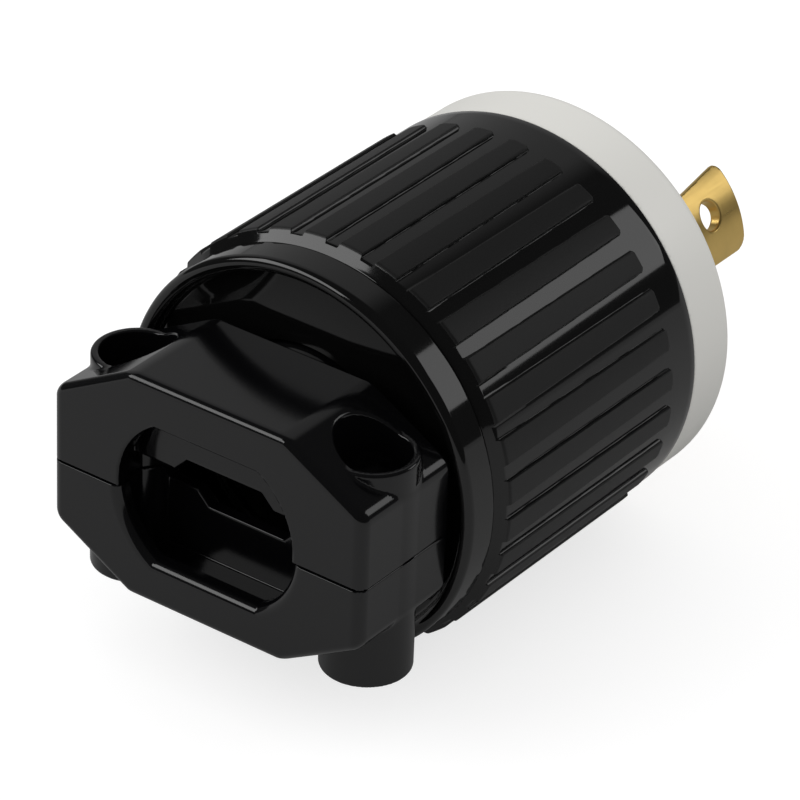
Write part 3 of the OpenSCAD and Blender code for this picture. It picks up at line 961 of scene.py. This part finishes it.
@dataclass
class Fittings:
    """Screws, nuts, plates and the retainer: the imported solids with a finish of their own."""

    finishes: dict = field(default_factory=lambda: {
        "terminal_retainer": Finish.FACE, "retainer_screw": Finish.STEEL,
        "plate_line_1": Finish.BRASS, "plate_line_2": Finish.BRASS,
        "plate_ground": Finish.BRASS, "terminal_screw_line_1": Finish.BRASS,
        "terminal_screw_line_2": Finish.BRASS, "terminal_screw_ground": Finish.GREEN,
        "assembly_screw_1": Finish.STEEL, "assembly_screw_2": Finish.STEEL,
        "assembly_screw_3": Finish.STEEL, "clamp_screw_left": Finish.STEEL,
        "clamp_screw_right": Finish.STEEL, "clamp_nut_left": Finish.STEEL,
        "clamp_nut_right": Finish.STEEL})

    def build(self) -> None:
        """Puts each finish on its solid."""
        for node, finish in self.finishes.items():
            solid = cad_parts[node]
            solid.data.materials.clear()
            solid.data.materials.append(MATERIALS[finish])
            LOG.info("%s: kept solid, %s", node, finish.name)
        for node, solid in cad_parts.items():
            if node not in self.finishes:
                solid.data.materials.clear()
                solid.data.materials.append(MATERIALS[Finish.CLAMP])


# ---- Camera, lamps and floor ----


@dataclass(frozen=True)
class ViewPoint:
    """The camera: where it looks from, in degrees and plug millimetres.

    Args:
        azimuth: how far it stands to the right of the clamp's end face.
        elevation: its height above the plug, as an angle.
        roll: its turn about its own axis.
        distance: from the point on the axis that it is measured to.
        station: that point's station along the plug.
        shift: how far it is moved sideways and up, in its own plane.
        lens: focal length on a 36 mm sensor.
    """

    azimuth: float = 35.583
    elevation: float = 31.299
    roll: float = 2.225
    distance: float = 668.55
    station: float = 40.0
    shift: tuple[float, float] = (0.855, -1.067)
    lens: float = 228.77

    def build(self) -> None:
        """Turns the camera's right, up and back directions into its matrix.

        Back is (cos e sin a, -cos e cos a, sin e), right is level and square to it, up is
        back x right, and roll turns right and up about back.
        """
        a, e, roll = (math.radians(v) for v in (self.azimuth, self.elevation, self.roll))
        back = Vector((math.cos(e) * math.sin(a), -math.cos(e) * math.cos(a), math.sin(e)))
        level = Vector((math.cos(a), math.sin(a), 0.0))
        above = back.cross(level)
        right = level * math.cos(roll) + above * math.sin(roll)
        up = above * math.cos(roll) - level * math.sin(roll)
        place = (Vector((0, self.station, 0)) + right * self.shift[0] + up * self.shift[1]
                 + back * self.distance)
        data = bpy.data.cameras.new("camera")
        data.lens, data.sensor_width, data.clip_start = self.lens, 36.0, 0.01
        camera = bpy.data.objects.new("camera", data)
        turn = Matrix((right, up, back)).transposed().to_4x4()
        spot = Vector(PLUG.to_row(np.array(place)))
        camera.matrix_world = Matrix.Translation(spot) @ turn
        bpy.context.scene.collection.objects.link(camera)
        bpy.context.scene.camera = camera


@dataclass(frozen=True)
class Softbox:
    """One soft lamp, aimed at the plug.

    Args:
        name: its name.
        towards: direction from the plug to the lamp.
        distance: in metres.
        size: width and height in metres.
        watts: its power.
    """

    name: str
    towards: tuple[float, float, float]
    distance: float
    size: tuple[float, float]
    watts: float

    def build(self) -> None:
        """Hangs the lamp along its direction, facing the middle of the plug."""
        data = bpy.data.lights.new(self.name, "AREA")
        data.shape = "RECTANGLE"
        data.size, data.size_y = self.size
        data.energy = self.watts
        lamp = bpy.data.objects.new(self.name, data)
        way = Vector(self.towards).normalized()
        lamp.location = Vector((0, 0, PLUG.axis_z)) + way * self.distance
        lamp.rotation_euler = way.to_track_quat("Z", "Y").to_euler()
        bpy.context.scene.collection.objects.link(lamp)


@dataclass
class Studio:
    """A pale floor, a pale world and soft lamps.

    Args:
        fill: the world's level for matt faces, where 1 is white.
        room: its level in gloss.
        window: direction of the pale window that gloss shows.
        glow: the window's level.
        floor_colour: sRGB hex of the floor.
        floor_lift: what is added to the floor for the camera, so that it clips to white.
        lamps: the softboxes.
    """

    fill: float = 0.85
    room: float = 0.05
    window: tuple[float, float, float] = (-0.557, 0.659, 0.507)
    glow: float = 0.3
    floor_colour: str = "A9A9A9"
    floor_lift: float = 0.7
    lamps: tuple[Softbox, ...] = (
        Softbox("front_left_box", (-0.60, -0.60, 0.54), 1.0, (0.95, 0.42), 3.8),
        Softbox("rear_box", (0.555, 0.69, 0.44), 1.3, (0.5, 0.5), 1.1),
    )

    def _world(self) -> None:
        """White behind the plug, a dim room with a pale window for gloss, and an even fill
        for matt faces.

        The window is where a direction's dot product with its middle is high.
        """
        world = bpy.data.worlds.new("studio")
        bpy.context.scene.world = world
        world.use_nodes = True
        tree = world.node_tree
        tree.nodes.clear()
        path = add_node(tree, "LightPath").outputs
        ray = add_node(tree, "TexCoord").outputs["Generated"]
        facing = add_node(tree, "VectorMath", {"operation": "DOT_PRODUCT"}, {0: ray})
        facing.inputs[1].default_value = self.window
        room = add_node(tree, "MapRange", {"interpolation_type": "SMOOTHSTEP"},
                        {"Value": facing.outputs["Value"]}, **{
            "From_Min": 0.78, "From_Max": 0.90, "To_Min": self.room,
            "To_Max": self.glow}).outputs[0]
        behind = add_node(tree, "Math", {"operation": "MAXIMUM"},
                          {0: path["Is Camera Ray"], 1: path["Is Transmission Ray"]})
        gloss = add_node(tree, "Mix", links={"Factor": path["Is Glossy Ray"], "B": room},
                         A=self.fill).outputs[0]
        level = add_node(tree, "Mix", links={"Factor": behind.outputs[0], "A": gloss},
                         B=1.0).outputs[0]
        light = add_node(tree, "Background", links={"Strength": level}, Color=(1, 1, 1, 1))
        add_node(tree, "OutputWorld", links={"Surface": light.outputs[0]})

    def _floor(self) -> None:
        """Pale matt floor, lifted to white for the camera and keeping the plug's shadow."""
        mesh = bpy.data.meshes.new("floor")
        half = 6.0
        mesh.from_pydata([(-half, -half, 0), (half, -half, 0), (half, half, 0),
                          (-half, half, 0)], [], [(0, 1, 2, 3)])
        floor = bpy.data.objects.new("floor", mesh)
        bpy.context.scene.collection.objects.link(floor)
        material, tree = new_material("pale_floor")
        matt = add_node(tree, "BsdfDiffuse", Color=linear(self.floor_colour)).outputs[0]
        path = add_node(tree, "LightPath").outputs["Is Camera Ray"]
        lift = add_node(tree, "Math", {"operation": "MULTIPLY"}, {0: path})
        lift.inputs[1].default_value = self.floor_lift
        glow = add_node(tree, "Emission", links={"Strength": lift.outputs[0]}).outputs[0]
        both = add_node(tree, "AddShader", links={0: matt, 1: glow})
        add_node(tree, "OutputMaterial", links={"Surface": both.outputs[0]})
        mesh.materials.append(material)

    def build(self) -> None:
        """Builds world, floor, lamps and the plain view transform."""
        bpy.context.scene.view_settings.view_transform = "Standard"
        self._world()
        self._floor()
        for lamp in self.lamps:
            lamp.build()


def main() -> None:
    """Builds the plug's pieces in order, then the studio round them."""
    logging.basicConfig(level=logging.INFO, format="%(name)s: %(message)s")
    ViewPoint().build()
    Fittings().build()
    Housing().build()
    CordClamp().build()
    blades = Blades()
    blades.build()
    FrontBody().build(blades)
    Studio().build()


if __name__ == "__main__":
    main()
